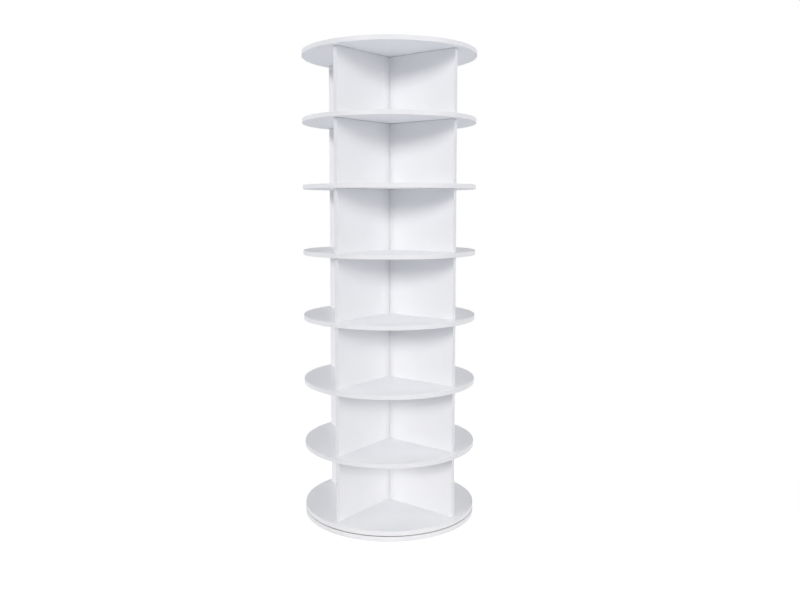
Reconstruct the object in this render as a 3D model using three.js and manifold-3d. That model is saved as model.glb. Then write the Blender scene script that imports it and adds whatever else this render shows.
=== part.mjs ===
// Rotating shoe tower: round boards and crossed dividers on a turntable bearing.
// Millimetres, +Z up, origin on the floor at the axis. The divider arms lie along X and Y.

import * as THREE from 'three';
import { mergeVertices } from 'three/addons/utils/BufferGeometryUtils.js';
import Module from 'manifold-3d';

const wasm = await Module();
wasm.setup();

// Round boards and tiers
const board_diameter = 600;
const board_thickness = 15;
const tier_count = 7;
const clear_height = 210; // from the top of one round board to the underside of the next
const edge_ease = 0.8; // chamfer along both edges of a round board's rim

// Dividers, two crossing boards in each tier
const rim_inset = 23.5; // from a round board's rim in to the outer ends of the arms
const divider_thickness = 15;

// Base and its running gap
const foot_standoff = 2; // from the floor to the underside of the base disc
const foot_pad_radius = 15;
const foot_inset = 45; // from the rim in to a pad's centre
const running_gap = 3; // between the base disc and the board that turns over it

// Turntable bearing: two rings with facing V grooves, and balls between them
const ball_radius = 2.5;
const ball_count = 12;
const race_radius = 130; // from the axis to the ball centres
const race_gap = 2.6; // between the facing walls of the two rings
const race_lip = 0.8; // of ring above and below a groove
const ring_width = 18.7; // from the wall that faces the balls to the plain wall
const ring_clearance = 0.8; // from a ring to the board that it doesn't touch
const cage_thickness = 1;
const cage_height = 3.2;
const access_hole_radius = 8; // in the base disc, for driving the upper screws

// Fasteners
const dowel_radius = 4;
const dowel_tip = 0.8; // chamfer at the ends
const connector_bite = 13; // into each divider
const top_dowel_bite = 20; // into a divider
const top_skin = 5; // of top board left over the dowel holes
const bottom_screw_bite = 25; // into a divider
const screw_skin = 3.5; // of board left past the end of a ring screw
const screw_shank_radius = 2;
const screw_head_radius = 3.9;
const screw_head_height = 1.9;
const screw_point = 2;

// Clearance between touching pieces, and how far a cutter runs past a face
const fit_gap = 0.3;
const overrun = 1;

// Facets of a full turn
const board_sides = 96;
const ring_sides = 56;
const pad_sides = 24;
const bar_sides = 10;
const ball_sides = 8;
const ball_rows = 6;

// Sizes that follow from those above
const board_radius = board_diameter / 2;
const divider_reach = board_radius - rim_inset; // from the axis to the outer end of an arm
const foot_place_radius = board_radius - foot_inset;
const tier_pitch = board_thickness + clear_height;
const divider_height = clear_height - 2 * fit_gap;
const groove_apex = (ball_radius + fit_gap) * Math.SQRT2; // from the ball centre, sideways
const groove_half_height = groove_apex - race_gap / 2;
const ring_height = 2 * (groove_half_height + race_lip);
const bearing_space = fit_gap + ring_height + ring_clearance;
const pocket_depth = (bearing_space - running_gap) / 2; // routed into each of the two boards
const pocket_floor = board_thickness - pocket_depth; // what is left of a board behind its pocket
const race_inner_face = race_radius - race_gap / 2;
const race_outer_face = race_radius + race_gap / 2;
const ring_inner_radius = race_inner_face - ring_width;
const ring_outer_radius = race_outer_face + ring_width;
const fastener_radius = (ring_outer_radius + divider_reach) / 2; // midway on the arm past the bearing
const inner_screw_radius = (ring_inner_radius + race_radius - groove_apex) / 2;
const outer_screw_radius = (ring_outer_radius + race_radius + groove_apex) / 2;
const ring_screw_length = ring_height + pocket_floor - screw_skin;
const bottom_screw_length = board_thickness + bottom_screw_bite;
const right_angles = [0, 1, 2, 3].map((turn) => turn * Math.PI / 2);

const finishes = {
  white_board: { color: 0xf3f4f6, roughness: 0.45, metalness: 0 },
  pad: { color: 0x3a3a3a, roughness: 0.9, metalness: 0 },
  aluminium: { color: 0xc9cbce, roughness: 0.35, metalness: 0.9 },
  nylon: { color: 0xe4e1d6, roughness: 0.55, metalness: 0 },
  steel: { color: 0xb9bcc0, roughness: 0.3, metalness: 0.95 },
  beech: { color: 0xd8b583, roughness: 0.7, metalness: 0 },
};

// A closed geometry as a solid for joining and cutting
function solidOf(geometry) {
  const bare = geometry.clone();
  bare.deleteAttribute('normal');
  bare.deleteAttribute('uv');
  const merged = mergeVertices(bare);
  const corners = merged.index.array;
  const kept = [];
  for (let i = 0; i < corners.length; i += 3) {
    const [a, b, c] = corners.slice(i, i + 3);
    if (a !== b && b !== c && c !== a) kept.push(a, b, c);
  }
  return new wasm.Manifold(new wasm.Mesh({
    numProp: 3,
    vertProperties: merged.attributes.position.array,
    triVerts: Uint32Array.from(kept),
  }));
}

function geometryOf(solid) {
  const mesh = solid.getMesh();
  const geometry = new THREE.BufferGeometry();
  geometry.setAttribute('position', new THREE.BufferAttribute(mesh.vertProperties, 3));
  geometry.setIndex(new THREE.BufferAttribute(mesh.triVerts, 1));
  geometry.computeVertexNormals();
  return geometry;
}

// The place at a radius and an angle round the axis
function around(radius, angle) {
  return [radius * Math.cos(angle), radius * Math.sin(angle)];
}

// A profile of [radius, height] points turned about Z
function turned(profile, sides) {
  const points = profile.map(([radius, height]) => new THREE.Vector2(radius, height));
  return new THREE.LatheGeometry(points, sides).rotateX(Math.PI / 2);
}

// A round bar along Z between two heights
function bar(radius, low, high, sides) {
  const geometry = new THREE.CylinderGeometry(radius, radius, high - low, sides);
  return geometry.rotateX(Math.PI / 2).translate(0, 0, (low + high) / 2);
}

function roundBoard() {
  return solidOf(turned([
    [0, 0],
    [board_radius - edge_ease, 0],
    [board_radius, edge_ease],
    [board_radius, board_thickness - edge_ease],
    [board_radius - edge_ease, board_thickness],
    [0, board_thickness],
  ], board_sides));
}

// Copies of one hole at a radius and at several angles, cut out of a solid
function drilled(solid, hole, radius, angles) {
  let rest = solid;
  for (const angle of angles) {
    const [x, y] = around(radius, angle);
    rest = rest.subtract(solidOf(hole.clone().translate(x, y, 0)));
  }
  return rest;
}

// The ring-shaped pocket that takes half of the bearing's height
function pocketCutter(low, high) {
  const outer = solidOf(bar(ring_outer_radius + fit_gap, low, high, ring_sides));
  const inner = solidOf(bar(ring_inner_radius - fit_gap, low - overrun, high + overrun, ring_sides));
  return outer.subtract(inner);
}

// A countersunk screw standing on its point, or with a margin and a run past the head, its hole
function screw(length, margin, past_head) {
  const shank = screw_shank_radius + margin;
  const head = screw_head_radius + margin;
  const profile = [
    [0, -margin],
    [shank, screw_point - margin],
    [shank, length - screw_head_height],
    [head, length],
  ];
  if (past_head > 0) profile.push([head, length + past_head]);
  profile.push([0, length + past_head]);
  return turned(profile, bar_sides);
}

// A plain dowel with chamfered ends
function dowel(length) {
  return turned([
    [0, 0],
    [dowel_radius - dowel_tip, 0],
    [dowel_radius, dowel_tip],
    [dowel_radius, length - dowel_tip],
    [dowel_radius - dowel_tip, length],
    [0, length],
  ], bar_sides);
}

function dowelHole(low, high) {
  return bar(dowel_radius + fit_gap, low, high, bar_sides);
}

function named(name, geometry, finish) {
  const mesh = new THREE.Mesh(geometry, new THREE.MeshStandardMaterial(finishes[finish]));
  mesh.name = name;
  return mesh;
}

// Copies of one piece at a radius and at several angles, numbered from 1
function ringOfCopies(name, geometry, finish, radius, angles, height) {
  return angles.map((angle, i) => {
    const copy = named(`${name}_${i + 1}`, geometry, finish);
    copy.position.set(...around(radius, angle), height);
    return copy;
  });
}

// Base disc: bearing pocket, screw holes and one access hole, seen from its underside at height 0
function baseDisc() {
  const pocket = pocketCutter(pocket_floor, board_thickness + overrun);
  const screw_hole = screw(ring_screw_length, fit_gap, overrun)
    .translate(0, 0, pocket_floor + fit_gap + ring_height - ring_screw_length);
  const access_hole = bar(access_hole_radius, -overrun, board_thickness + overrun, pad_sides);
  let disc = roundBoard().subtract(pocket);
  disc = drilled(disc, screw_hole, inner_screw_radius, right_angles);
  disc = drilled(disc, access_hole, outer_screw_radius, [Math.PI / 4]);
  return named('base_disc', geometryOf(disc), 'white_board');
}

// A ring of the bearing, from its underside at height 0, with its groove in the wall
// that faces the balls and its four countersunk holes
function bearingRing(plain_radius, race_face, apex_side, groove_height, screw_radius, screw_hole) {
  const apex_radius = race_radius + apex_side * groove_apex;
  const profile = [
    [plain_radius, 0],
    [race_face, 0],
    [race_face, groove_height - groove_half_height],
    [apex_radius, groove_height],
    [race_face, groove_height + groove_half_height],
    [race_face, ring_height],
    [plain_radius, ring_height],
    [plain_radius, 0],
  ];
  if (plain_radius > race_face) profile.reverse();
  const ring = solidOf(turned(profile, ring_sides));
  return geometryOf(drilled(ring, screw_hole, screw_radius, right_angles));
}

// The ring that is screwed down on the base disc
function innerRing() {
  const hole = screw(ring_screw_length, fit_gap, overrun)
    .translate(0, 0, ring_height - ring_screw_length);
  const groove_height = bearing_space / 2 - fit_gap;
  const ring = bearingRing(
    ring_inner_radius, race_inner_face, -1, groove_height, inner_screw_radius, hole);
  return named('bearing_inner_ring', ring, 'aluminium');
}

// The ring that is screwed up under the bottom board, so its screws point upwards
function outerRing() {
  const hole = screw(ring_screw_length, fit_gap, overrun)
    .rotateX(Math.PI).translate(0, 0, ring_screw_length);
  const groove_height = bearing_space / 2 - ring_clearance;
  const ring = bearingRing(
    ring_outer_radius, race_outer_face, 1, groove_height, outer_screw_radius, hole);
  return named('bearing_outer_ring', ring, 'aluminium');
}

// The cage band with its balls, centred on the plane of the races
function ballCage() {
  const inner = race_radius - cage_thickness / 2;
  const outer = race_radius + cage_thickness / 2;
  const half = cage_height / 2;
  let cage = solidOf(turned(
    [[inner, -half], [outer, -half], [outer, half], [inner, half], [inner, -half]], ring_sides));
  for (let i = 0; i < ball_count; i += 1) {
    const [x, y] = around(race_radius, 2 * Math.PI * i / ball_count);
    const ball = new THREE.SphereGeometry(ball_radius, ball_sides, ball_rows).translate(x, y, 0);
    cage = cage.add(solidOf(ball));
  }
  return named('bearing_ball_cage', geometryOf(cage), 'nylon');
}

// Each joint plane is a round board; it is counted from 0 at the bottom board.
// The shelves hold two connectors each, in the arms along X and Y in turn.
function arms(plane) {
  if (plane === 0 || plane === tier_count) return right_angles;
  return right_angles.filter((angle, i) => i % 2 === plane % 2);
}

function bottomBoard() {
  const ring_hole = screw(ring_screw_length, fit_gap, overrun)
    .rotateX(Math.PI).translate(0, 0, pocket_depth - fit_gap - ring_height + ring_screw_length);
  const divider_hole = screw(bottom_screw_length, fit_gap, overrun)
    .rotateX(Math.PI).translate(0, 0, bottom_screw_length);
  let board = roundBoard().subtract(pocketCutter(-overrun, pocket_depth));
  board = drilled(board, ring_hole, outer_screw_radius, right_angles);
  board = drilled(board, divider_hole, fastener_radius, arms(0));
  return named('bottom_board', geometryOf(board), 'white_board');
}

function shelf(plane) {
  const hole = dowelHole(-overrun, board_thickness + overrun);
  const board = drilled(roundBoard(), hole, fastener_radius, arms(plane));
  return named(`shelf_${plane}`, geometryOf(board), 'white_board');
}

function topBoard() {
  const hole = dowelHole(-overrun, board_thickness - top_skin + fit_gap);
  const board = drilled(roundBoard(), hole, fastener_radius, arms(tier_count));
  return named('top_board', geometryOf(board), 'white_board');
}

// The outline of a divider seen from the side, with its halving slot open at the bottom or top
function dividerOutline(slot_at_bottom) {
  const half_slot = divider_thickness / 2 + fit_gap;
  const slot_end = (divider_height + fit_gap) / 2;
  const open_edge = slot_at_bottom ? 0 : divider_height;
  const far_edge = divider_height - open_edge;
  const slot_depth_at = slot_at_bottom ? slot_end : divider_height - slot_end;
  return new THREE.Shape([
    [-divider_reach, open_edge],
    [-half_slot, open_edge],
    [-half_slot, slot_depth_at],
    [half_slot, slot_depth_at],
    [half_slot, open_edge],
    [divider_reach, open_edge],
    [divider_reach, far_edge],
    [-divider_reach, far_edge],
  ].map(([along, height]) => new THREE.Vector2(along, height)));
}

// The hole in a divider for what comes through the round board below it
function lowerHole(plane) {
  if (plane > 0) return dowelHole(-overrun, connector_bite);
  return screw(bottom_screw_length, fit_gap, overrun)
    .rotateX(Math.PI).translate(0, 0, bottom_screw_length - board_thickness - fit_gap);
}

function upperHole(plane) {
  const bite = plane < tier_count ? connector_bite : top_dowel_bite;
  return dowelHole(divider_height - bite, divider_height + overrun);
}

// One of a tier's two crossing boards, its underside at height 0.
// Board a lies along X with its slot below, board b along Y with its slot above.
function divider(tier, letter) {
  const along_x = letter === 'a';
  const flat = new THREE.ExtrudeGeometry(dividerOutline(along_x), {
    depth: divider_thickness,
    bevelEnabled: false,
  });
  flat.rotateX(Math.PI / 2).translate(0, divider_thickness / 2, 0);
  if (!along_x) flat.rotateZ(Math.PI / 2);
  const own_arms = right_angles.filter((angle, i) => (i % 2 === 0) === along_x);
  const held = (plane) => arms(plane).filter((angle) => own_arms.includes(angle));
  let board = solidOf(flat);
  board = drilled(board, lowerHole(tier - 1), fastener_radius, held(tier - 1));
  board = drilled(board, upperHole(tier), fastener_radius, held(tier));
  return named(`tier_${tier}_divider_${letter}`, geometryOf(board), 'white_board');
}

function baseGroup() {
  const group = new THREE.Group();
  const pad = bar(foot_pad_radius, 0, foot_standoff - fit_gap, pad_sides);
  const pad_angles = right_angles.map((angle) => angle + Math.PI / 4);
  const disc = baseDisc();
  const ring = innerRing();
  disc.position.z = foot_standoff;
  ring.position.z = foot_standoff + pocket_floor + fit_gap;
  const screw_height = ring.position.z + ring_height - ring_screw_length;
  group.add(disc, ring);
  group.add(...ringOfCopies('foot_pad', pad, 'pad', foot_place_radius, pad_angles, 0));
  group.add(...ringOfCopies('inner_ring_screw', screw(ring_screw_length, 0, 0), 'steel',
    inner_screw_radius, right_angles, screw_height));
  return group;
}

function cageGroup() {
  const group = new THREE.Group();
  const cage = ballCage();
  cage.position.z = foot_standoff + pocket_floor + bearing_space / 2;
  group.add(cage);
  return group;
}

// The ring and screws under the bottom board, with heights from that board's underside
function turningBearing() {
  const ring = outerRing();
  ring.position.z = pocket_depth - fit_gap - ring_height;
  const ring_screw = screw(ring_screw_length, 0, 0).rotateX(Math.PI).translate(0, 0, ring_screw_length);
  return [ring, ...ringOfCopies('outer_ring_screw', ring_screw, 'steel',
    outer_screw_radius, right_angles, ring.position.z)];
}

// What joins the round board at a plane to the dividers, with heights from its underside
function jointFasteners(plane) {
  const places = arms(plane);
  if (plane === 0) {
    const bottom_screw = screw(bottom_screw_length, 0, 0)
      .rotateX(Math.PI).translate(0, 0, bottom_screw_length);
    return ringOfCopies('bottom_screw', bottom_screw, 'steel', fastener_radius, places, 0);
  }
  if (plane === tier_count) {
    const length = top_dowel_bite + board_thickness - top_skin;
    return ringOfCopies('top_dowel', dowel(length), 'beech', fastener_radius, places, -top_dowel_bite);
  }
  const length = board_thickness + 2 * connector_bite;
  return ringOfCopies(`shelf_${plane}_connector`, dowel(length), 'beech',
    fastener_radius, places, -connector_bite);
}

function towerGroup() {
  const group = new THREE.Group();
  group.position.z = foot_standoff + board_thickness + running_gap;
  group.add(...turningBearing());
  for (let plane = 0; plane <= tier_count; plane += 1) {
    const level = new THREE.Group();
    level.position.z = plane * tier_pitch;
    if (plane === 0) level.add(bottomBoard());
    else if (plane === tier_count) level.add(topBoard());
    else level.add(shelf(plane));
    level.add(...jointFasteners(plane));
    if (plane < tier_count) {
      for (const letter of ['a', 'b']) {
        const board = divider(plane + 1, letter);
        board.position.z = board_thickness + fit_gap;
        level.add(board);
      }
    }
    group.add(level);
  }
  return group;
}

const shoe_tower = new THREE.Group();
shoe_tower.add(baseGroup(), cageGroup(), towerGroup());

export default shoe_tower;
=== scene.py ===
import math

import bpy
import numpy as np
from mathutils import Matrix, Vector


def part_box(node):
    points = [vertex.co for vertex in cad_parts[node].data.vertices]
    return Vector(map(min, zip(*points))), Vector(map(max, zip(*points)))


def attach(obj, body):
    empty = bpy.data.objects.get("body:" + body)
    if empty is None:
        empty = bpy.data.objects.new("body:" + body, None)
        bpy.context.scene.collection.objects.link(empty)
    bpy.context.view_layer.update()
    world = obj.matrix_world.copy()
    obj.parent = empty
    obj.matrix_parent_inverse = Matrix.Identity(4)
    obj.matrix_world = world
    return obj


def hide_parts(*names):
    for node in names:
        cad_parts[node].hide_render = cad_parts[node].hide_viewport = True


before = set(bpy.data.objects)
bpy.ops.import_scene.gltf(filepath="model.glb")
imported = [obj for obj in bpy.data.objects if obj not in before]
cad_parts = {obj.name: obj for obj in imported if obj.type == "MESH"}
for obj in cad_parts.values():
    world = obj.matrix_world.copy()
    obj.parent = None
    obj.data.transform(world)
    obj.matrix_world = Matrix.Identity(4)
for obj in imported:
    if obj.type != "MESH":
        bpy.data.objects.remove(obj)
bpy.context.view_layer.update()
mm = 0.001


# Base disc
# A fixed disc of melamine-faced chipboard under the whole tower, with painted shade on its outer
# strip, where it lies in the gap under the bottom board. It is routed for the lower part of the
# bearing and drilled for its screws. Its rim has 1 mm PVC edging, which is glued on, trimmed flush
# and rounded over.
edging_thickness = 1 * mm
edging_round = 0.8 * mm
sawn_edge_round = 0.1 * mm
glue_line = 0.03 * mm
edging_joint = 0.15 * mm  # gap where the two ends of a rim's edging meet
edging_joint_angle = math.radians(128.6)
rim_segments = 384
face_rings = 4
hole_segments = 48
cutter_overrun = 1 * mm  # how far a cutter reaches past what it cuts
ring_width = 18.7 * mm
pocket_clearance = 0.3 * mm
screw_hole_radius = 2.1 * mm
access_hole_radius = 8 * mm
four = range(1, 5)  # the numbers of screws, pads and dowels, which come in fours

melamine_white = (0.912, 0.918, 0.94, 1)
melamine_shade = (0.875, 0.882, 0.905, 1)
edging_white = (0.83, 0.833, 0.857, 1)
edging_shade = (0.79, 0.795, 0.82, 1)
rubbed_white = (0.70, 0.70, 0.71, 1)
chip_pale = (0.56, 0.41, 0.25, 1)
chip_tan = (0.40, 0.27, 0.15, 1)
chip_dark = (0.17, 0.10, 0.05, 1)
# painted shade: a grey laid over the base disc's outer strip, which lies in the gap under the bottom
# board, so that the running gap reads darker
painted_gap_shade_grey = (0.45, 0.44, 0.42, 1)
painted_gap_shade_from, painted_gap_shade_full = 284 * mm, 296 * mm  # distances from the axis
painted_gap_shade_share = 0.6


def rounded(corners, radii, steps=5, flat_share=0.2):
    """A closed outline with its corners rounded. At a corner of half angle h an arc of radius r
    touches both sides at r / tan h, and its centre lies r / sin h along the bisector. One more
    point on each side, a share of r past the arc, keeps the flat sides flat when shaded."""
    outline = []
    for i, radius in enumerate(radii):
        corner = np.array(corners[i], float)
        if radius == 0:
            outline.append(corner[None])
            continue
        back = np.array(corners[i - 1], float) - corner
        on = np.array(corners[(i + 1) % len(corners)], float) - corner
        back /= np.linalg.norm(back)
        on /= np.linalg.norm(on)
        half = np.arccos(np.clip(back @ on, -1, 1)) / 2
        touch = radius / np.tan(half)
        centre = corner + (back + on) / np.linalg.norm(back + on) * radius / np.sin(half)
        first = corner + back * touch - centre
        last = corner + on * touch - centre
        sweep = np.pi - 2 * half
        turn = np.linspace(0, sweep, steps + 1)[:, None]
        arc = centre + (np.sin(sweep - turn) * first + np.sin(turn) * last) / np.sin(sweep)
        past = touch + flat_share * radius
        outline.append(np.vstack([corner + back * past, arc, corner + on * past]))
    return np.vstack(outline)


def quads(rows, columns, wrap_rows, wrap_columns):
    """The faces of a grid whose points are numbered row by row, each from a point to the next in
    its row, up a row and back. Wrapped rows or columns join the last to the first."""
    row = np.arange(rows if wrap_rows else rows - 1)[:, None]
    column = np.arange(columns if wrap_columns else columns - 1)[None, :]
    above = (row + 1) % rows
    beside = (column + 1) % columns
    corners = [row * columns + column, row * columns + beside,
               above * columns + beside, above * columns + column]
    return np.stack(corners, axis=-1).reshape(-1, 4)


def tube(rows, columns):
    """The faces of a grid whose rows are closed rings, with a flat face across each end."""
    ends = [list(range(columns - 1, -1, -1)), list(range((rows - 1) * columns, rows * columns))]
    return quads(rows, columns, False, True).tolist() + ends


def end_fans(count, sides):
    """Triangles that close the first and the last of the rings that a count of points makes. They
    meet in two more points, which follow those of the rings."""
    first = np.arange(sides)
    last = first + count - sides
    low = [np.full(sides, count), np.roll(first, -1), first]
    high = [np.full(sides, count + 1), last, np.roll(last, -1)]
    return np.hstack([low, high]).T.tolist()


def angles_round(count):
    """Evenly spaced angles, once round."""
    return 2 * np.pi * np.arange(count) / count


def about_axis(radius, angle, height):
    """The points (r cos a, r sin a, z) of a grid that the radii, angles and heights span."""
    grid = np.broadcast_arrays(radius * np.cos(angle), radius * np.sin(angle), height)
    return np.stack(grid, axis=-1).reshape(-1, 3)


def turned(profile, sides):
    """A profile of (r, z) points turned about the upright axis: each goes to (r cos a, r sin a, z)
    at evenly spaced angles a. A profile that starts and ends on the axis is closed there by fans
    of triangles, and any other is a ring that closes from its last point to its first."""
    meets_axis = profile[0, 0] == 0
    wall = profile[1:-1] if meets_axis else profile
    points = about_axis(wall[:, :1], angles_round(sides), wall[:, 1:])
    faces = quads(len(wall), sides, not meets_axis, True).tolist()
    if meets_axis:
        faces += end_fans(len(points), sides)
        points = np.vstack([points, [[0, 0, profile[0, 1]], [0, 0, profile[-1, 1]]]])
    return points, faces


def carried_round(profile, start, end, steps):
    """A closed (r, z) profile carried round the axis from one angle to another, each point to
    (r cos a, r sin a, z), with a flat face across each end."""
    angle = np.linspace(start, end, steps)[:, None]
    points = about_axis(profile[None, :, 0], angle, profile[None, :, 1])
    return points, [face[::-1] for face in tube(steps, len(profile))]


def moved(solid, x, y, z=0):
    """A solid carried to a place."""
    points, faces = solid
    return points + [x, y, z], faces


def upright_bar(radius, centre, low, high):
    """A round bar: the profile (0, low), (radius, low), (radius, high), (0, high) turned about an
    upright axis through the centre."""
    profile = np.array([[0, low], [radius, low], [radius, high], [0, high]])
    return moved(turned(profile, hole_segments), *centre)


def joined(solids):
    """Several solids as one array of points and one list of faces, with the faces renumbered."""
    faces, count = [], 0
    for more_points, more_faces in solids:
        faces += [(np.array(face) + count).tolist() for face in more_faces]
        count += len(more_points)
    return np.vstack([points for points, _ in solids]), faces


def shade(mesh, sharp_angle=math.radians(35)):
    """Smooth shading, broken where two faces meet at more than the sharp angle."""
    mesh.shade_smooth()
    mesh.set_sharp_from_angle(angle=sharp_angle)


def mark_edges(mesh, full_bend=0.01):
    """Writes the attribute rub: 1 along edges and 0 on flats. It is one less the length of the
    mean of the unit normals of the faces round a point, as a share of a full bend."""
    loops = np.empty(len(mesh.loops), np.int32)
    mesh.loops.foreach_get("vertex_index", loops)
    normals = np.empty(3 * len(mesh.polygons), np.float32)
    mesh.polygons.foreach_get("normal", normals)
    corners = np.empty(len(mesh.polygons), np.int32)
    mesh.polygons.foreach_get("loop_total", corners)
    total = np.zeros((len(mesh.vertices), 3))
    np.add.at(total, loops, np.repeat(normals.reshape(-1, 3), corners, axis=0))
    count = np.bincount(loops, minlength=len(total))
    bend = 1 - np.linalg.norm(total, axis=1) / np.maximum(count, 1)
    rub = mesh.attributes.new("rub", "FLOAT", "POINT")
    rub.data.foreach_set("value", np.clip(bend / full_bend, 0, 1).astype(np.float32))


def made(name, solid, materials, flat_axis=None, facing_share=0.6):
    """A piece from points and faces. With two materials, the first is on the faces whose normals
    point along the flat axis by the facing share or more, and the second is on the rest."""
    points, faces = solid
    mesh = bpy.data.meshes.new(name)
    mesh.from_pydata(points, [], faces)
    for material in materials:
        mesh.materials.append(material)
    if flat_axis is not None:
        normals = np.empty(3 * len(mesh.polygons), np.float32)
        mesh.polygons.foreach_get("normal", normals)
        second = np.abs(normals.reshape(-1, 3)[:, flat_axis]) < facing_share
        mesh.polygons.foreach_set("material_index", second.astype(np.int32))
    mark_edges(mesh)
    shade(mesh)
    piece = bpy.data.objects.new(name, mesh)
    bpy.context.scene.collection.objects.link(piece)
    return piece


def cut(piece, solids, material):
    """Takes solids out of a piece. The walls of the cut have the given material."""
    cutter = made("cutter", joined(solids), [material])
    change = piece.modifiers.new("cut", "BOOLEAN")
    change.operation = "DIFFERENCE"
    change.solver = "EXACT"
    change.material_mode = "TRANSFER"
    change.object = cutter
    depsgraph = bpy.context.evaluated_depsgraph_get()
    whole = piece.data
    piece.data = bpy.data.meshes.new_from_object(piece.evaluated_get(depsgraph))
    piece.data.name = piece.name
    piece.modifiers.clear()
    bpy.data.objects.remove(cutter)
    bpy.data.meshes.remove(whole)
    shade(piece.data)


def fitted(piece, body, slot, *nodes):
    """Puts a finished piece on its body and lets it stand for its CAD nodes."""
    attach(piece, body)
    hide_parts(*nodes)


def middle(node):
    """The centre of a CAD node's box, in plan."""
    low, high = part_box(node)
    return (low.x + high.x) / 2, (low.y + high.y) / 2


def placed(tree, kind, inputs=None, **settings):
    """Adds a node with its settings. Each input is a link from a socket or else a value."""
    new = tree.nodes.new(kind)
    for setting, value in settings.items():
        setattr(new, setting, value)
    for socket, value in (inputs or {}).items():
        if isinstance(value, bpy.types.NodeSocket):
            tree.links.new(value, new.inputs[socket])
        else:
            new.inputs[socket].default_value = value
    return new


def sums(tree, operation, first, second=0.0, third=0.0):
    """The output of one Math node."""
    inputs = {0: first, 1: second, 2: third}
    return placed(tree, "ShaderNodeMath", inputs, operation=operation).outputs[0]


def tinted(tree, share, first, second):
    """The output of one colour Mix node."""
    mix = placed(tree, "ShaderNodeMix", {0: share, 6: first, 7: second}, data_type="RGBA")
    return mix.outputs[2]


def ranged(tree, value, low, high, new_low=0.0, new_high=1.0):
    """A value moved from one range to another and held inside it."""
    inputs = {0: value, 1: low, 2: high, 3: new_low, 4: new_high}
    return placed(tree, "ShaderNodeMapRange", inputs, interpolation_type="SMOOTHSTEP").outputs[0]


def noise(tree, place, scale, detail, roughness=0.5, distortion=0.0):
    """The value of one Noise texture."""
    inputs = {"Vector": place, "Scale": scale, "Detail": detail, "Roughness": roughness,
              "Distortion": distortion}
    return placed(tree, "ShaderNodeTexNoise", inputs).outputs["Fac"]


def stretched(tree, place, scale, rotation=(0.0, 0.0, 0.0)):
    """A place scaled along each axis and then turned."""
    inputs = {"Vector": place, "Rotation": rotation, "Scale": scale}
    return placed(tree, "ShaderNodeMapping", inputs).outputs[0]


def from_axis(tree, place):
    """The distance of a place from the upright axis."""
    flat = stretched(tree, place, (1.0, 1.0, 0.0))
    return placed(tree, "ShaderNodeVectorMath", {0: flat}, operation="LENGTH").outputs["Value"]


def effect(name, numbers, given):
    """A node group that takes a Vector and named numbers, and gives named values."""
    group = bpy.data.node_groups.new(name, "ShaderNodeTree")
    group.interface.new_socket("Vector", in_out="INPUT", socket_type="NodeSocketVector")
    for label, value in numbers.items():
        socket = group.interface.new_socket(label, in_out="INPUT", socket_type="NodeSocketFloat")
        socket.default_value = value
    for label in given:
        group.interface.new_socket(label, in_out="OUTPUT", socket_type="NodeSocketFloat")
    return group, group.nodes.new("NodeGroupInput").outputs, group.nodes.new("NodeGroupOutput").inputs


def with_effect(tree, group, **inputs):
    """Places an effect in a material and gives its outputs."""
    return placed(tree, "ShaderNodeGroup", inputs, node_tree=group).outputs


def pressed_texture():
    """The fine pearl texture that a press plate leaves, as a height, with slow mottling."""
    group, wanted, given = effect("pressed_texture", {"Size": 0.9 * mm}, ["Height", "Mottle"])
    per_metre = sums(group, "DIVIDE", 1.0, wanted["Size"])
    pearl = noise(group, wanted["Vector"], per_metre, 2.0, 0.55)
    finer = sums(group, "MULTIPLY", per_metre, 3.1)
    pits = placed(group, "ShaderNodeTexVoronoi", {
        "Vector": wanted["Vector"], "Scale": finer}, feature="SMOOTH_F1")
    height = sums(group, "MULTIPLY_ADD", pits.outputs["Distance"], 0.35, pearl)
    slow = noise(group, wanted["Vector"], 7.0, 3.0, 0.6)
    group.links.new(height, given["Height"])
    group.links.new(ranged(group, slow, 0.35, 0.65), given["Mottle"])
    return group


def handling_marks():
    """Faint smudges left by hands, with fine scuffs inside them, as a mask."""
    group, wanted, given = effect("handling_marks", {"Amount": 0.5}, ["Mask"])
    smudge = noise(group, wanted["Vector"], 13.0, 4.0, 0.65, 0.8)
    drawn_out = stretched(group, wanted["Vector"], (900.0, 60.0, 240.0), (0.3, 0.2, 0.7))
    soft = ranged(group, smudge, 0.5, 0.72)
    fine = ranged(group, noise(group, drawn_out, 1.0, 2.0), 0.55, 0.7, 0.45, 1.0)
    mask = sums(group, "MULTIPLY", sums(group, "MULTIPLY", soft, fine), wanted["Amount"])
    group.links.new(mask, given["Mask"])
    return group


def rubbed_edges():
    """Broken wear along the edges that the rub attribute marks, as a mask."""
    group, wanted, given = effect("rubbed_edges", {"Rub": 0.0, "Amount": 0.5}, ["Mask"])
    broken = ranged(group, noise(group, wanted["Vector"], 45.0, 6.0, 0.7), 0.42, 0.66)
    worn = sums(group, "MULTIPLY", broken, wanted["Rub"])
    group.links.new(sums(group, "MULTIPLY", worn, wanted["Amount"]), given["Mask"])
    return group


pressed_texture_effect = pressed_texture()
handling_marks_effect = handling_marks()
rubbed_edges_effect = rubbed_edges()


def started(name):
    """A new material: its tree, its shader's inputs, object coordinates and the rub attribute."""
    material = bpy.data.materials.new(name)
    material.use_nodes = True
    tree = material.node_tree
    shader = tree.nodes["Principled BSDF"].inputs
    place = placed(tree, "ShaderNodeTexCoord").outputs["Object"]
    rub = placed(tree, "ShaderNodeAttribute", attribute_name="rub").outputs["Fac"]
    return material, tree, shader, place, rub


def bumped(tree, shader, height, distance):
    """Feeds a height to the shader's normal through one Bump node."""
    inputs = {"Height": height, "Distance": distance, "Strength": 1.0}
    bump = placed(tree, "ShaderNodeBump", inputs)
    tree.links.new(bump.outputs["Normal"], shader["Normal"])


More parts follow.
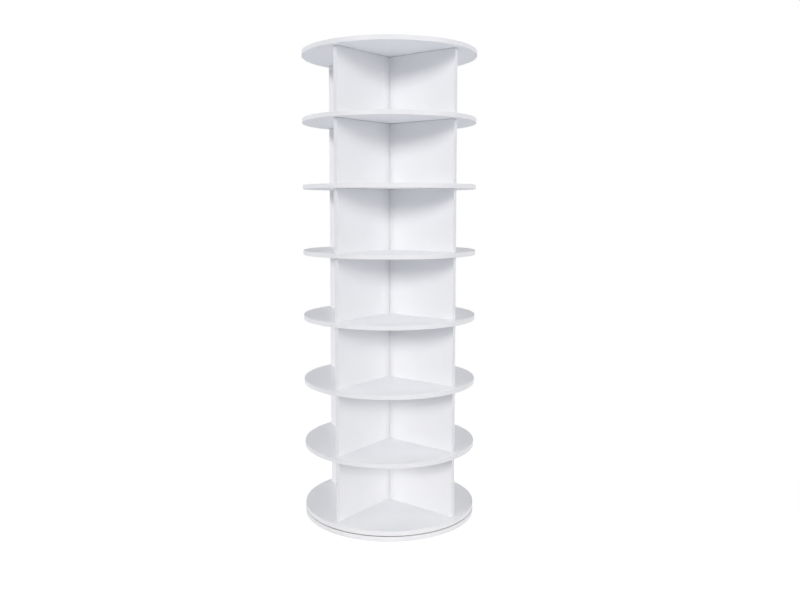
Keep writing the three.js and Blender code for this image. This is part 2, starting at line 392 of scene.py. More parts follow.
def white_finish(name, colour, shaded, texture_size, texture_depth, roughness, wear):
    """A white plastic surface: a tone that drifts slowly, smudges that dull it, worn edges and a
    fine pressed texture."""
    material, tree, shader, place, rub = started(name)
    texture = with_effect(tree, pressed_texture_effect, Vector=place, Size=texture_size)
    marks = with_effect(tree, handling_marks_effect, Vector=place, Amount=0.4)["Mask"]
    worn = with_effect(tree, rubbed_edges_effect, Vector=place, Rub=rub, Amount=wear)["Mask"]
    tone = tinted(tree, sums(tree, "MULTIPLY", texture["Mottle"], 0.3), colour, shaded)
    tone = tinted(tree, sums(tree, "MULTIPLY", marks, 0.3), tone, shaded)
    tone = tinted(tree, worn, tone, rubbed_white)
    tree.links.new(tone, shader["Base Color"])
    dulled = sums(tree, "MULTIPLY_ADD", marks, 0.16, roughness)
    dulled = sums(tree, "MULTIPLY_ADD", texture["Mottle"], 0.05, dulled)
    tree.links.new(sums(tree, "MULTIPLY_ADD", worn, 0.2, dulled), shader["Roughness"])
    bumped(tree, shader, texture["Height"], texture_depth)
    return material


def melamine_face(name):
    """White melamine paper pressed on chipboard."""
    return white_finish(name, melamine_white, melamine_shade, 0.9 * mm, 0.012 * mm, 0.42, 0.12)


def melamine_with_painted_gap_shade():
    """White melamine with painted shade over its outer strip, which lies in the gap under the board
    above: a grey film that thickens with the distance from the axis."""
    material = melamine_face("melamine_with_painted_gap_shade")
    tree = material.node_tree
    colour = tree.nodes["Principled BSDF"].inputs["Base Color"]
    place = placed(tree, "ShaderNodeTexCoord").outputs["Object"]
    # painted shade: grey mixed in over the outer strip, more of it towards the rim
    film = ranged(tree, from_axis(tree, place), painted_gap_shade_from, painted_gap_shade_full, 0.0, painted_gap_shade_share)
    tree.links.new(tinted(tree, film, colour.links[0].from_socket, painted_gap_shade_grey), colour)
    return material


def chipboard(name, thin_axis):
    """Sawn or drilled chipboard: long chips that lie flat in the board, in patches that point one
    way or the other, some dark with bark, with open pores between them."""
    material, tree, shader, place, _ = started(name)
    turned_chips = ranged(tree, noise(tree, place, 230.0, 3.0), 0.49, 0.51)
    lays = []
    for long_axis in sorted({0, 1, 2} - {thin_axis}):
        chips_per_metre = [620.0, 620.0, 620.0]
        chips_per_metre[long_axis] = 190.0
        chips_per_metre[thin_axis] = 1500.0
        laid = stretched(tree, place, chips_per_metre)
        chips = placed(tree, "ShaderNodeTexVoronoi", {"Vector": laid, "Scale": 1.0})
        lays.append((chips.outputs["Color"], chips.outputs["Distance"]))
    fibres = noise(tree, laid, 2.6, 6.0, 0.7)
    colour, distance = [tinted(tree, turned_chips, *pair) for pair in zip(*lays)]
    sorted_chips = placed(tree, "ShaderNodeSeparateColor", {0: colour}).outputs[0]
    tone = tinted(tree, ranged(tree, sorted_chips, 0.1, 0.75), chip_pale, chip_tan)
    tone = tinted(tree, ranged(tree, sorted_chips, 0.86, 0.93, 0.0, 0.8), tone, chip_dark)
    tone = tinted(tree, ranged(tree, fibres, 0.35, 0.75, 0.0, 0.55), tone, chip_tan)
    pores = ranged(tree, distance, 0.45, 0.75)
    tone = tinted(tree, sums(tree, "MULTIPLY", pores, 0.6), tone, chip_dark)
    tree.links.new(tone, shader["Base Color"])
    tree.links.new(ranged(tree, fibres, 0.3, 0.7, 0.82, 0.95), shader["Roughness"])
    bumped(tree, shader, sums(tree, "SUBTRACT", fibres, pores), 0.25 * mm)
    return material


def edging_strip(inner, outer, low, high):
    """The cross-section of a strip of edging, with its outer edges trimmed round."""
    corners = [(inner, low), (outer, low), (outer, high), (inner, high)]
    return rounded(corners, [sawn_edge_round, edging_round, edging_round, sawn_edge_round])


melamine = melamine_face("white_melamine")
edging = white_finish("white_pvc_edging", edging_white, edging_shade, 0.5 * mm, 0.008 * mm, 0.44, 0.2)
chipboard_flat = chipboard("chipboard_in_a_flat_board", 2)


def round_board(node, body, facing=melamine):
    """A round board's core, with a flat face from the axis out to the rim on each side, and the
    strip of edging round it."""
    low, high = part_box(node)
    inner = high.x - edging_thickness
    core_radius = inner - glue_line
    across = np.linspace(0, core_radius, face_rings, endpoint=False)
    profile = np.vstack([
        np.column_stack([across, np.full(face_rings, low.z)]),
        rounded([(core_radius, low.z), (core_radius, high.z), (0, high.z), (0, low.z)],
                [sawn_edge_round, sawn_edge_round, 0, 0])[:-2],
        np.column_stack([across[::-1], np.full(face_rings, high.z)])])
    core = made(f"{node}_core", turned(profile, rim_segments), [facing, chipboard_flat], 2)
    start = edging_joint_angle + edging_joint / high.x
    ring = carried_round(edging_strip(inner, high.x, low.z, high.z), start,
                         edging_joint_angle + 2 * math.pi, rim_segments)
    band = made(f"{node}_edging", ring, [edging])
    fitted(core, body, "white_board", node)
    fitted(band, body, "white_board", node)
    return core


def routed_ring(inner, outer, low, high):
    """The space that a router takes out of a board for the bearing."""
    return turned(np.array([[inner, low], [outer, low], [outer, high], [inner, high]]), rim_segments)


inner_low, inner_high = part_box("bearing_inner_ring")
outer_low, outer_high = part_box("bearing_outer_ring")
pocket_inner = inner_high.x - ring_width - pocket_clearance
pocket_outer = outer_high.x + pocket_clearance
pocket_floor = inner_low.z - pocket_clearance
disc_low, disc_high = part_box("base_disc")
below_disc, above_disc = disc_low.z - cutter_overrun, disc_high.z + cutter_overrun
upper_screw_radius = middle("outer_ring_screw_1")[0]
access_place = [upper_screw_radius * math.cos(math.pi / 4)] * 2  # a turn brings each screw over it

# the base disc's upper face carries painted shade on its outer strip, in the gap under the bottom
# board
base_disc = round_board("base_disc", "base", melamine_with_painted_gap_shade())
cut(base_disc, [routed_ring(pocket_inner, pocket_outer, pocket_floor, above_disc)], chipboard_flat)
disc_holes = [upright_bar(access_hole_radius, access_place, below_disc, above_disc)]
for i in four:
    screw = f"inner_ring_screw_{i}"
    hole_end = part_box(screw)[0].z - pocket_clearance
    disc_holes.append(upright_bar(screw_hole_radius, middle(screw), hole_end, above_disc))
cut(base_disc, disc_holes, chipboard_flat)


# Foot pads
# Four round rubber pads glued under the base disc, which keep it off the floor and stop it from
# turning with the tower. Their edges are moulded round, and a shallow ring runs round the middle.
pad_segments = 96
pad_edge_round = 0.45 * mm
pad_glue_line = 0.05 * mm  # left between a pad and the disc
pad_groove_share = 0.55
pad_groove_width = 1.2 * mm
pad_groove_depth = 0.35 * mm
pad_groove_round = pad_groove_depth / 3
rubber_grey = (0.045, 0.045, 0.047, 1)
rubber_dusty = (0.12, 0.118, 0.115, 1)


def pad_rubber():
    """Dark moulded rubber with a pebbled skin and floor dust caught on its edges."""
    material, tree, shader, place, rub = started("moulded_rubber")
    pebbles = placed(tree, "ShaderNodeTexVoronoi", {"Vector": place, "Scale": 1400.0})
    dust = noise(tree, place, 260.0, 5.0)
    dusty = ranged(tree, dust, 0.45, 0.75, 0.0, 0.6)
    worn = with_effect(tree, rubbed_edges_effect, Vector=place, Rub=rub, Amount=0.6)["Mask"]
    tone = tinted(tree, sums(tree, "MAXIMUM", dusty, worn), rubber_grey, rubber_dusty)
    tree.links.new(tone, shader["Base Color"])
    tree.links.new(ranged(tree, dust, 0.3, 0.7, 0.7, 0.88), shader["Roughness"])
    bumped(tree, shader, pebbles.outputs["Distance"], 0.08 * mm)
    return material


rubber = pad_rubber()
for i in four:
    node = f"foot_pad_{i}"
    low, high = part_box(node)
    pad_radius = (high.x - low.x) / 2
    pad_top = disc_low.z - pad_glue_line
    groove_top = low.z + pad_groove_depth
    groove_inner = pad_radius * pad_groove_share
    groove_outer = groove_inner + pad_groove_width
    outline = [(0, low.z), (groove_inner, low.z), (groove_inner, groove_top),
               (groove_outer, groove_top), (groove_outer, low.z),
               (pad_radius, low.z), (pad_radius, pad_top), (0, pad_top)]
    radii = [0, *[pad_groove_round] * 4, pad_edge_round, pad_edge_round, 0]
    pad_solid = moved(turned(rounded(outline, radii), pad_segments), *middle(node))
    fitted(made(f"{node}_moulding", pad_solid, [rubber]), "base", "foot_rubber", node)


# Inner bearing ring
# An aluminium ring screwed down in the base disc's pocket. It is turned on a lathe, with a V groove
# in its outer wall for the balls and small chamfers, and has four countersunk holes.
ring_segments = 256
ring_edge_round = 0.3 * mm
groove_edge_round = 0.15 * mm
groove_half_height = 2.66 * mm
groove_depth = 2.66 * mm
countersink_radius = 4.1 * mm
countersink_depth = 2 * mm
countersunk_length = 20 * mm  # enough to go through any board or ring
aluminium_light = (0.79, 0.80, 0.81, 1)
aluminium_dull = (0.60, 0.61, 0.625, 1)
race_plane = (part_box("bearing_ball_cage")[0].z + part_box("bearing_ball_cage")[1].z) / 2


def metal_scuffs():
    """Fine straight scuffs and slow changes of polish on bare metal, as a mask and a height."""
    group, wanted, given = effect("metal_scuffs", {"Size": 4 * mm}, ["Mask", "Height"])
    per_metre = sums(group, "DIVIDE", 1.0, wanted["Size"])
    drawn_out = stretched(group, wanted["Vector"], (14.0, 1.0, 5.0), (0.2, 0.5, 0.9))
    lines = noise(group, drawn_out, per_metre, 4.0, 0.7)
    polish = noise(group, wanted["Vector"], per_metre, 3.0)
    mask = sums(group, "MULTIPLY", ranged(group, lines, 0.5, 0.7), ranged(group, polish, 0.4, 0.65))
    group.links.new(mask, given["Mask"])
    group.links.new(lines, given["Height"])
    return group


metal_scuffs_effect = metal_scuffs()


def turned_aluminium():
    """Lathe-turned aluminium: rings of fine tool marks that depend on the distance from the axis
    alone, with duller patches of oxide and brighter edges."""
    material, tree, shader, place, rub = started("turned_aluminium")
    marks_out = sums(tree, "MULTIPLY", from_axis(tree, place), 6000.0)
    tool_marks = placed(tree, "ShaderNodeTexNoise", {
        "W": marks_out, "Scale": 1.0, "Detail": 3.0}, noise_dimensions="1D")
    scuffs = with_effect(tree, metal_scuffs_effect, Vector=place, Size=6 * mm)["Mask"]
    worn = with_effect(tree, rubbed_edges_effect, Vector=place, Rub=rub, Amount=0.8)["Mask"]
    marks = tool_marks.outputs["Fac"]
    tone = tinted(tree, ranged(tree, marks, 0.35, 0.7, 0.1, 0.6), aluminium_light, aluminium_dull)
    tone = tinted(tree, sums(tree, "MULTIPLY", scuffs, 0.5), tone, aluminium_dull)
    tree.links.new(tinted(tree, worn, tone, aluminium_light), shader["Base Color"])
    rough = sums(tree, "MULTIPLY_ADD", scuffs, 0.2, ranged(tree, marks, 0.3, 0.7, 0.24, 0.4))
    tree.links.new(rough, shader["Roughness"])
    shader["Metallic"].default_value = 1
    bumped(tree, shader, marks, 0.02 * mm)
    return material


def bearing_ring(name, node, wall_radius, face_radius, body):
    """A ring between its plain wall and the wall that faces the balls, which has a V groove at the
    height of the races."""
    low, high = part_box(node)
    side = 1 if wall_radius > face_radius else -1
    apex = face_radius + side * groove_depth
    corners = [(wall_radius, low.z), (face_radius, low.z),
               (face_radius, race_plane - groove_half_height), (apex, race_plane),
               (face_radius, race_plane + groove_half_height),
               (face_radius, high.z), (wall_radius, high.z)]
    radii = [ring_edge_round, ring_edge_round, groove_edge_round, groove_edge_round,
             groove_edge_round, ring_edge_round, ring_edge_round]
    outline = rounded(corners, radii)
    if side > 0:
        outline = outline[::-1]
    ring = made(name, turned(outline, ring_segments), [aluminium])
    fitted(ring, body, "bearing_aluminium", node)
    return ring


def upside_down(solid):
    """A solid turned half round the X axis."""
    points, faces = solid
    return points * [1, -1, -1], faces


def countersunk_hole(screw, face, upwards):
    """The hole for a screw: a cone from the face where its head sits, then a plain hole that goes
    on up or down."""
    profile = np.array([
        (0, -cutter_overrun), (countersink_radius, -cutter_overrun), (countersink_radius, 0),
        (screw_hole_radius, countersink_depth), (screw_hole_radius, countersunk_length),
        (0, countersunk_length)])
    hole = turned(profile, hole_segments)
    return moved(hole if upwards else upside_down(hole), *middle(screw), face)


aluminium = turned_aluminium()
inner_ring = bearing_ring("bearing_inner_ring_turned", "bearing_inner_ring",
                          inner_high.x - ring_width, inner_high.x, "base")
inner_holes = [countersunk_hole(f"inner_ring_screw_{i}", inner_high.z, False) for i in four]
cut(inner_ring, inner_holes, aluminium)


# Ring screws
# Zinc-plated steel chipboard screws with a countersunk head, a cross recess and a coarse thread
# that fades into the shank. Four hold each ring of the bearing.
shank_radius = 1.95 * mm
thread_root_share = 0.7
thread_pitch = 1.8 * mm
thread_ridge_share = 0.22
thread_fade_turns = 1.5  # under the head the thread dies away over these turns
neck_fill = 0.6  # share of the thread's depth that is filled at the neck
screw_point_length = 3 * mm
head_radius = 3.9 * mm
head_height = 1.9 * mm
head_rim = 0.2 * mm
recess_depth = 1.5 * mm
recess_arm = 2.1 * mm
recess_half_width = 0.55 * mm
recess_wall = 0.3 * mm
screw_columns = 40
steps_per_thread = 10
head_rows = 18
zinc_light = (0.70, 0.715, 0.735, 1)
zinc_dull = (0.48, 0.49, 0.50, 1)


def zinc_plating():
    """Bright zinc on steel, duller where it is scuffed and brighter where edges are rubbed."""
    material, tree, shader, place, rub = started("zinc_plated_steel")
    scuffs = with_effect(tree, metal_scuffs_effect, Vector=place, Size=1.5 * mm)
    spangle = placed(tree, "ShaderNodeTexVoronoi", {"Vector": place, "Scale": 1700.0})
    worn = with_effect(tree, rubbed_edges_effect, Vector=place, Rub=rub, Amount=0.7)["Mask"]
    crystals = ranged(tree, spangle.outputs["Distance"], 0.1, 0.7, 0.0, 0.4)
    tone = tinted(tree, sums(tree, "MAXIMUM", scuffs["Mask"], crystals), zinc_light, zinc_dull)
    tree.links.new(tinted(tree, worn, tone, zinc_light), shader["Base Color"])
    tree.links.new(sums(tree, "MULTIPLY_ADD", scuffs["Mask"], 0.25, 0.24), shader["Roughness"])
    shader["Metallic"].default_value = 1
    bumped(tree, shader, scuffs["Height"], 0.01 * mm)
    return material


def wood_screw(length):
    """A screw with its point at height 0. Up the shank, r = root + (crest - root) x ridge, where
    the ridge is a peak at the middle of each turn of z / pitch - a / 2 pi. Near the head the ridge
    fades and the root fills out, and at the point both taper to nothing. The cone and flat of the
    head follow, and the flat sinks into a cross where the nearer of x and y is under half an arm's
    width and the other under its length."""
    angle = angles_round(screw_columns)
    neck = length - head_height
    rows = int(neck / thread_pitch * steps_per_thread)
    height = np.linspace(0, neck, rows + 1)[1:, None]
    turn = (height / thread_pitch - angle / (2 * np.pi)) % 1
    fade = np.clip((neck - height) / (thread_fade_turns * thread_pitch), 0, 1)
    ridge = np.clip(1 - np.abs(turn - 0.5) / thread_ridge_share, 0, 1) * fade
    root = shank_radius * thread_root_share
    root = root + (shank_radius - root) * (1 - fade) * neck_fill
    radius = (root + (shank_radius - root) * ridge) * np.clip(height / screw_point_length, 0, 1)
    rim_height = np.array([[length - head_rim], [length]])
    flat_radius = np.linspace(head_radius, 0, head_rows, endpoint=False)[1:, None]
    across = np.abs(flat_radius * np.cos(angle))
    along = np.abs(flat_radius * np.sin(angle))
    in_width = np.clip((recess_half_width - np.minimum(across, along)) / recess_wall, 0, 1)
    in_length = np.clip((recess_arm - np.maximum(across, along)) / recess_wall, 0, 1)
    flat_height = length - recess_depth * in_width * in_length
    rings = [(radius, height), (head_radius, rim_height), (flat_radius, flat_height)]
    points = np.vstack([about_axis(out, angle, up) for out, up in rings])
    faces = quads(len(points) // screw_columns, screw_columns, False, True).tolist()
    faces += end_fans(len(points), screw_columns)
    return np.vstack([points, [[0, 0, 0], [0, 0, length - recess_depth]]]), faces


def driven(node, head_up, body):
    """A screw in the place of its CAD node, with its head at the upper or lower end."""
    low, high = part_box(node)
    screw = wood_screw(high.z - low.z)
    if head_up:
        screw = moved(screw, *middle(node), low.z)
    else:
        screw = moved(upside_down(screw), *middle(node), high.z)
    fitted(made(f"{node}_threaded", screw, [zinc]), body, "screw_steel", node)


zinc = zinc_plating()
for i in four:
    driven(f"inner_ring_screw_{i}", True, "base")
    driven(f"outer_ring_screw_{i}", False, "tower")


# Balls and cage
# Twelve hardened steel balls run between the two grooves. A thin nylon band keeps them apart: it
# widens into an eye round each ball, which snaps into it.
ball_count = 12
ball_radius = 2.5 * mm
ball_columns = 32
ball_rows = 16
race_radius = 130 * mm
cage_thickness = 1 * mm
cage_half_height = 1.6 * mm
eye_radius = 3.1 * mm
pocket_in_eye = 2.6 * mm
cage_steps = 720
steel_bright = (0.74, 0.745, 0.755, 1)
steel_grey = (0.52, 0.525, 0.54, 1)
nylon_ivory = (0.78, 0.755, 0.68, 1)
nylon_shade = (0.70, 0.665, 0.58, 1)


def ball_steel():
    """Polished steel with faint running marks and a film of grease."""
    material, tree, shader, place, _ = started("ball_steel")
    scuffs = with_effect(tree, metal_scuffs_effect, Vector=place, Size=1 * mm)
    tone = tinted(tree, sums(tree, "MULTIPLY", scuffs["Mask"], 0.6), steel_bright, steel_grey)
    tree.links.new(tone, shader["Base Color"])
    tree.links.new(sums(tree, "MULTIPLY_ADD", scuffs["Mask"], 0.15, 0.07), shader["Roughness"])
    shader["Metallic"].default_value = 1
    bumped(tree, shader, scuffs["Height"], 0.002 * mm)
    return material


def cage_nylon():
    """Moulded nylon in its own ivory colour, a little cloudy, rubbed smooth at the edges."""
    material, tree, shader, place, rub = started("moulded_nylon")
    grain = noise(tree, place, 2600.0, 2.0)
    worn = with_effect(tree, rubbed_edges_effect, Vector=place, Rub=rub, Amount=0.5)["Mask"]
    shaded = ranged(tree, noise(tree, place, 180.0, 4.0), 0.35, 0.7)
    tree.links.new(tinted(tree, shaded, nylon_ivory, nylon_shade), shader["Base Color"])
    tree.links.new(sums(tree, "MULTIPLY_ADD", worn, -0.2, 0.52), shader["Roughness"])
    bumped(tree, shader, grain, 0.015 * mm)
    return material


def ball(radius, centre):
    """A sphere from its half circle (radius sin p, -radius cos p) turned about the upright axis."""
    polar = np.linspace(0, np.pi, ball_rows + 1)
    profile = np.column_stack([radius * np.sin(polar), -radius * np.cos(polar)])
    profile[[0, -1], 0] = 0
    return moved(turned(profile, ball_columns), *centre)


def cage_band():
    """A band round the axis whose half height at angle a is the greater of a plain half height and
    sqrt(eye radius squared - arc length squared), with the arc length measured from the nearest
    ball. Its wall is the box (inner, low), (outer, low), (outer, high), (inner, high)."""
    angle = angles_round(cage_steps)
    spacing = 2 * np.pi / ball_count
    arc = race_radius * np.abs((angle + spacing / 2) % spacing - spacing / 2)
    eye = np.sqrt(np.maximum(eye_radius ** 2 - arc ** 2, 0))
    half = np.maximum(cage_half_height, eye)
    inner = race_radius - cage_thickness / 2
    outer = race_radius + cage_thickness / 2
    radius = np.array([inner, outer, outer, inner])[:, None]
    side = np.array([-1, -1, 1, 1])[:, None] * half
    return about_axis(radius, angle, race_plane + side), quads(4, cage_steps, True, True).tolist()


ball_centres = about_axis(race_radius, angles_round(ball_count), race_plane)
balls = made("bearing_balls", joined([ball(ball_radius, c) for c in ball_centres]), [ball_steel()])
fitted(balls, "ball_cage", "screw_steel", "bearing_ball_cage")
nylon = cage_nylon()
cage = made("bearing_cage_band", cage_band(), [nylon])
cut(cage, [ball(pocket_in_eye, c) for c in ball_centres], nylon)
fitted(cage, "ball_cage", "cage_nylon", "bearing_ball_cage")


# Outer bearing ring
# The other aluminium ring, screwed up into the pocket under the bottom board, so that it turns
# with the tower. Its groove is in its inner wall, and its screws point upwards.
race_gap = 2.6 * mm  # between the two rings
outer_ring = bearing_ring("bearing_outer_ring_turned", "bearing_outer_ring",
                          outer_high.x, inner_high.x + race_gap, "tower")
outer_holes = [countersunk_hole(f"outer_ring_screw_{i}", outer_low.z, True) for i in four]
cut(outer_ring, outer_holes, aluminium)


# Bottom board
# The lowest turning board, of the same melamine-faced chipboard. Its underside is routed for the
# upper part of the bearing and has the countersunk holes of the screws into the bottom dividers.
bottom_low, bottom_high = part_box("bottom_board")
bottom_board = round_board("bottom_board", "tower")
below_bottom = bottom_low.z - cutter_overrun
cut(bottom_board, [routed_ring(pocket_inner, pocket_outer, below_bottom,
                               outer_high.z + pocket_clearance)], chipboard_flat)
bottom_holes = []
for i in four:
    screw = f"outer_ring_screw_{i}"
    hole_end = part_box(screw)[1].z + pocket_clearance
    bottom_holes.append(upright_bar(screw_hole_radius, middle(screw), below_bottom, hole_end))
    bottom_holes.append(countersunk_hole(f"bottom_screw_{i}", bottom_low.z, True))
    driven(f"bottom_screw_{i}", False, "tower")
cut(bottom_board, bottom_holes, chipboard_flat)


# Dividers
# Two upright boards cross at the axis in each tier. They are halved into each other, one slotted
# from below and one from above, faced with white melamine, and edged with PVC at their outer ends.
board_thickness = 15 * mm
divider_edge_round = 0.3 * mm
foot_seam = 0.05 * mm  # left between a divider and the board that it stands on
head_seam = 0.7 * mm  # left under the board above, and seen as a thin dark line
slot_clearance = 0.1 * mm
fastener_clearance = 0.1 * mm
divider_face_inset = 4 * mm
tier_count = 7
cad_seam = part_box("tier_1_divider_a")[0].z - bottom_high.z  # the CAD leaves it at foot and head
chipboard_along_x = chipboard("chipboard_in_a_board_along_x", 1)
chipboard_along_y = chipboard("chipboard_in_a_board_along_y", 0)


def slab(outline, edge, along, up, across):
    """A flat outline with a thickness. Row (d, w) of the edge is the outline moved inwards by d at
    right angles to both sides of each corner, at depth w through the thickness, and the first and
    last rows are filled. A point (s, h, w) goes to s along + h up + w across."""
    outline = np.array(outline, float)
    side = np.roll(outline, -1, axis=0) - outline
    side /= np.linalg.norm(side, axis=1)[:, None]
    inward = np.column_stack([-side[:, 1], side[:, 0]])
    inward = inward + np.roll(inward, 1, axis=0)
    edge = np.array(edge, float)
    flat = outline[None] + edge[:, None, :1] * inward[None]
    depth = np.broadcast_to(edge[:, None, 1:], flat[..., :1].shape)
    points = np.concatenate([flat, depth], axis=-1).reshape(-1, 3)
    return points @ np.array([along, up, across], float), tube(len(edge), len(outline))


def fasteners_through(node):
    """The places, ends and radii of the dowels, connectors and screws that reach into a CAD node,
    each with whether it is a screw."""
    low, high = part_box(node)
    kinds = ("connector", "top_dowel", "bottom_screw")
    for name in sorted(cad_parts):
        if any(kind in name for kind in kinds):
            x, y = middle(name)
            bottom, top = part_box(name)
            if low.x < x < high.x and low.y < y < high.y and bottom.z < high.z and top.z > low.z:
                yield (x, y), bottom.z, top.z, (top.x - bottom.x) / 2, "screw" in name


def drill_for_fasteners(piece, node, material):
    """Drills a board for the fasteners that reach into it. A dowel's hole is a little wider and
    longer than the dowel, and a screw's has room for the thread."""
    holes = []
    for place, bottom, top, radius, is_screw in fasteners_through(node):
        start = bottom if is_screw else bottom - fastener_clearance
        width = screw_hole_radius if is_screw else radius + fastener_clearance
        holes.append(upright_bar(width, place, start, top + fastener_clearance))
    cut(piece, holes, material)


def divider(node, slot_below, along, across, thin_axis, raw):
    """One board of a tier's cross, and the two strips of edging on its outer ends."""
    low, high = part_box(node)
    reach = max(high.x, high.y)
    inner = reach - edging_thickness
    core_reach = inner - glue_line
    bottom = low.z - cad_seam + foot_seam
    top = high.z + cad_seam - head_seam
    half_slot = board_thickness / 2 + slot_clearance
    mouth, far, sign = (bottom, top, 1) if slot_below else (top, bottom, -1)
    slot_end = (bottom + top) / 2 + sign * slot_clearance / 2
    outline = [(-core_reach, mouth), (-half_slot, mouth), (-half_slot, slot_end),
               (half_slot, slot_end), (half_slot, mouth), (core_reach, mouth),
               (core_reach, far), (-core_reach, far)]
    if not slot_below:
        outline.reverse()
    half = board_thickness / 2
    edge = rounded([(divider_face_inset, -half), (0, -half), (0, half), (divider_face_inset, half)],
                   [0, divider_edge_round, divider_edge_round, 0])
    board = slab(outline, edge, along, (0, 0, 1), across)
    core = made(f"{node}_core", board, [melamine, raw], thin_axis)
    drill_for_fasteners(core, node, raw)
    strip = edging_strip(inner, reach, -half, half)
    beside = np.cross((0, 0, 1), along)
    strips = [slab(strip, [(0, bottom), (0, top)], np.array(along) * end, beside * end, (0, 0, 1))
              for end in (1, -1)]
    band = made(f"{node}_edging", joined(strips), [edging])
    fitted(core, "tower", "white_board", node)
    fitted(band, "tower", "white_board", node)


for tier in range(1, tier_count + 1):
    divider(f"tier_{tier}_divider_a", True, (1, 0, 0), (0, -1, 0), 1, chipboard_along_x)
    divider(f"tier_{tier}_divider_b", False, (0, 1, 0), (1, 0, 0), 0, chipboard_along_y)


# Shelves
# Six round boards like the bottom one, each with two drilled holes for the connectors that tie the
# dividers above and below to it.
for plane in range(1, tier_count):
    shelf = round_board(f"shelf_{plane}", "tower")
    drill_for_fasteners(shelf, f"shelf_{plane}", chipboard_flat)


# Top board
# The lid of the tower, a round board whose upper face is unbroken. Four blind holes in its
# underside take the dowels of the top dividers.
top_board = round_board("top_board", "tower")
drill_for_fasteners(top_board, "top_board", chipboard_flat)


# Dowels and connectors
# Beech dowels with pressed flutes that let the glue spread, and chamfered ends. Short ones tie the
# top board to the top dividers, and long ones run through each shelf into the dividers.
flute_count = 24
columns_per_flute = 4
flute_depth = 0.25 * mm
dowel_chamfer = 0.8 * mm
dowel_rows = 12
beech_pale = (0.64, 0.46, 0.29, 1)
beech_tan = (0.50, 0.33, 0.19, 1)
beech_fleck = (0.30, 0.17, 0.09, 1)


def beech():
    """Beech: grain drawn out along the dowel, with the short dark rays that the wood is known by."""
    material, tree, shader, place, _ = started("beech")
    grain = noise(tree, stretched(tree, place, (900.0, 900.0, 45.0)), 1.0, 5.0, 0.65)
    rays = placed(tree, "ShaderNodeTexVoronoi", {
        "Vector": stretched(tree, place, (1500.0, 1500.0, 420.0)), "Scale": 1.0})
    tone = tinted(tree, ranged(tree, grain, 0.3, 0.7), beech_pale, beech_tan)
    flecks = ranged(tree, rays.outputs["Distance"], 0.12, 0.22, 0.75, 0.0)
    tree.links.new(tinted(tree, flecks, tone, beech_fleck), shader["Base Color"])
    tree.links.new(ranged(tree, grain, 0.3, 0.7, 0.6, 0.75), shader["Roughness"])
    bumped(tree, shader, grain, 0.06 * mm)
    return material


def fluted_dowel(radius, low, high):
    """A bar of radius r(a) = radius - depth x (1 - cos(flutes x a)) / 2, drawn in by the chamfer
    over the chamfer's height at each end, with flat ends."""
    columns = flute_count * columns_per_flute
    angle = angles_round(columns)
    inside = np.linspace(low + dowel_chamfer, high - dowel_chamfer, dowel_rows)
    height = np.concatenate([[low], inside, [high]])[:, None]
    past_end = np.clip(dowel_chamfer - np.minimum(height - low, high - height), 0, None)
    wall = radius - flute_depth * (1 - np.cos(flute_count * angle)) / 2 - past_end
    return about_axis(wall, angle, height), tube(len(height), columns)


beech_wood = beech()
dowel_nodes = [f"top_dowel_{i}" for i in four]
dowel_nodes += [f"shelf_{plane}_connector_{i}" for plane in range(1, tier_count) for i in (1, 2)]
for node in dowel_nodes:
    low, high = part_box(node)
    dowel_solid = moved(fluted_dowel((high.x - low.x) / 2, low.z, high.z), *middle(node))
    fitted(made(f"{node}_fluted", dowel_solid, [beech_wood]), "tower", "dowel_beech", node)


# Floor
# A plain pale floor, lit from behind like a studio light table so that only a faint shadow shows
# on it. It fades out well away from the tower, so that no horizon shows.
floor_radius = 1.6
floor_fade_from, floor_fade_to = 0.45, 1.52
floor_glow = 0.50  # seen by the camera alone, so it throws no light on the tower
floor_white = (0.80, 0.80, 0.80, 1)
floor_shade = (0.78, 0.78, 0.785, 1)
floor_rings = 8
floor_segments = 96


def pale_floor():
    """A matt white floor with a faint drift of tone, which thins out with its distance from the
    axis."""
    material, tree, shader, place, _ = started("pale_floor")
    shaded = ranged(tree, noise(tree, place, 1.5, 2.0), 0.3, 0.7, 0.0, 0.3)
    tree.links.new(tinted(tree, shaded, floor_white, floor_shade), shader["Base Color"])
    fading = ranged(tree, from_axis(tree, place), floor_fade_from, floor_fade_to, 1.0, 0.0)
    tree.links.new(fading, shader["Alpha"])
    seen = placed(tree, "ShaderNodeLightPath").outputs["Is Camera Ray"]
    tree.links.new(sums(tree, "MULTIPLY", seen, floor_glow), shader["Emission Strength"])
    shader["Emission Color"].default_value = (1, 1, 1, 1)
    shader["Roughness"].default_value = 0.9
    shader["Specular IOR Level"].default_value = 0.1
    return material


ring_radius = np.linspace(0, floor_radius, floor_rings + 1)[1:, None]
floor_points = about_axis(ring_radius, angles_round(floor_segments), 0)
floor_faces = quads(floor_rings, floor_segments, False, True)[:, ::-1].tolist()
floor_faces.append(list(range(floor_segments)))
floor = made("floor", (floor_points, floor_faces), [pale_floor()])


# Light
# Soft studio light from far off, so that every tier is lit alike: a key square to each divider
# face, a fill between the front ones, steep and low lights from the sides, and a cool surround
# that is the same from all sides.
photo_azimuth = math.radians(38.6)
light_from_above = 0.465
light_from_level = 0.194
light_from_below = 0.796
surround_colour = (0.937, 0.962, 1.013, 1)
key_colour = (1.0, 0.981, 0.956)
key_angle = 14
side_angle = 30
back_angle = 40


def soft_key(name, azimuth, elevation, angle, strength):
    """A broad distant light. Its azimuth is measured from the camera's side, and its angle is how
    much of the surround it fills, all in degrees."""
    lamp = bpy.data.lights.new(name, "SUN")
    lamp.energy = strength
    lamp.angle = math.radians(angle)
    lamp.color = key_colour
    light = bpy.data.objects.new(name, lamp)
    tilt = math.pi / 2 - math.radians(elevation)
    light.rotation_euler = (tilt, 0, photo_azimuth + math.radians(azimuth))
    bpy.context.scene.collection.objects.link(light)
    return light


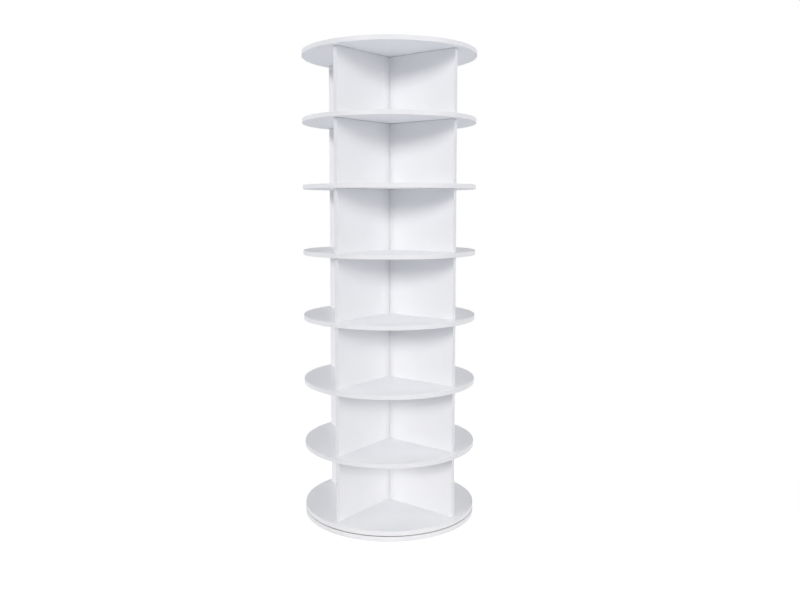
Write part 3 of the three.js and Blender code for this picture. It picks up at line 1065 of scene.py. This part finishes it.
soft_key("left_key", -38, 17, key_angle, 1.21)
soft_key("right_key", 51, 17, key_angle, 0.60)
soft_key("right_low_key", 51, 6, key_angle, 0.28)
soft_key("front_fill", 22, 17, key_angle, 0.30)
soft_key("left_steep_light", -62, 39, key_angle, 0.28)
soft_key("right_steep_light", 76, 39, key_angle, 0.34)
soft_key("right_side_light", 95, 8, side_angle, 0.13)
for name, azimuth in (("left_back_key", -130), ("right_back_key", 140)):
    back_key = soft_key(name, azimuth, 10, back_angle, 1.05)
    back_key.visible_glossy = False  # or the rims would shine where they turn away

world = bpy.data.worlds.new("studio")
world.use_nodes = True
bpy.context.scene.world = world
sky = world.node_tree
surround = sky.nodes["Background"]
surround.inputs["Color"].default_value = surround_colour
direction = placed(sky, "ShaderNodeTexCoord").outputs["Generated"]
rise = placed(sky, "ShaderNodeSeparateXYZ", {0: direction}).outputs["Z"]
level = ranged(sky, rise, -0.1, 0.2, 0.0, light_from_level)
above = ranged(sky, rise, 0.25, 0.65, 0.0, light_from_above - light_from_level)
below = ranged(sky, rise, -0.5, 0.1, light_from_below, 0.0)
strength = sums(sky, "ADD", sums(sky, "ADD", above, level), below)
sky.links.new(strength, surround.inputs["Strength"])
backdrop = placed(sky, "ShaderNodeBackground", {"Color": (1, 1, 1, 1), "Strength": 1.0})
seen = placed(sky, "ShaderNodeLightPath").outputs["Is Camera Ray"]
either = placed(sky, "ShaderNodeMixShader", {0: seen, 1: surround.outputs[0], 2: backdrop.outputs[0]})
sky.links.new(either.outputs[0], sky.nodes["World Output"].inputs["Surface"])
bpy.context.scene.view_settings.view_transform = "Standard"


# Camera
# It stands at the photograph's viewing angle, a little above the middle of the tower, and looks
# down by a few degrees.
image_width, image_height = 800, 600
focal_pixels = 786.1
centre_across, centre_down = 389.3, 280  # pixel that the camera's axis goes through
camera_distance = 2.763  # from the tower's axis
camera_height = 1.0897
camera_pitch = math.radians(5.426)

lens = bpy.data.cameras.new("camera")
lens.sensor_width = 36
lens.lens = lens.sensor_width * focal_pixels / image_width
lens.shift_x = (image_width / 2 - centre_across) / image_width
lens.shift_y = (centre_down - image_height / 2) / image_width
camera = bpy.data.objects.new("camera", lens)
camera.location = (camera_distance * math.sin(photo_azimuth),
                   -camera_distance * math.cos(photo_azimuth), camera_height)
camera.rotation_euler = (math.pi / 2 - camera_pitch, 0, photo_azimuth)
bpy.context.scene.collection.objects.link(camera)
bpy.context.scene.camera = camera
